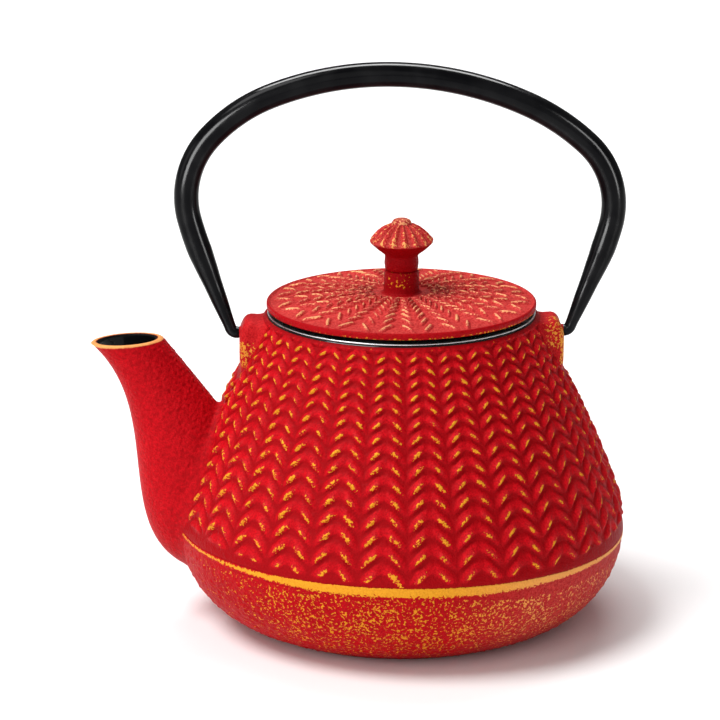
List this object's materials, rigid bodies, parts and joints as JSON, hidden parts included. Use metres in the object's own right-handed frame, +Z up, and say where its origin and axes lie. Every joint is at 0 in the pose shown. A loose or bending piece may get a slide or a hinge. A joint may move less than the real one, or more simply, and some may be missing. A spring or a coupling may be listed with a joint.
{
  "type": "cast iron teapot",
  "caption": "Squat red cast iron teapot with a herringbone relief, lift-off lid, steel strainer and a black swinging bail handle.",
  "frame": {"origin": "centre of the flat foot, on the pot's axis", "axes": "+Z up along the axis of the pot, -X towards the spout, the handle pivots along X"},
  "size_m": [0.1782, 0.15, 0.188],
  "materials": {
    "red_iron": "satin red lacquer rubbed with gold on the raised relief",
    "black_enamel": "glossy fired enamel",
    "black_paint": "satin black paint",
    "screw_steel": "plain steel",
    "strainer_steel": "bright stainless"
  },
  "bodies": {
    "pot": {"pot_body": "red_iron", "enamel_lining": "black_enamel", "spout": "red_iron", "handle_lug_left": "red_iron", "handle_lug_right": "red_iron"},
    "handle": {"handle": "black_paint"},
    "lid": {"lid": "red_iron", "lid_knob": "red_iron", "knob_screw": "screw_steel", "knob_washer": "screw_steel"},
    "infuser": {"infuser_rim": "strainer_steel", "infuser_wall": "strainer_steel", "infuser_foot_ring": "strainer_steel", "infuser_floor": "strainer_steel"}
  },
  "joints": [
    {"name": "handle_swing", "type": "hinge", "parent": "pot", "child": "handle", "pos_m": [0, 0, 0.0973], "axis": [1, 0, 0], "range_deg": [-118, 118]},
    {"name": "infuser_lift", "type": "slide", "parent": "pot", "child": "infuser", "axis": [0, 0, 1], "range_m": [0, 0.02]},
    {"name": "lid_lift", "type": "slide", "parent": "infuser", "child": "lid", "axis": [0, 0, 1], "range_m": [0, 0.02]}
  ]
}
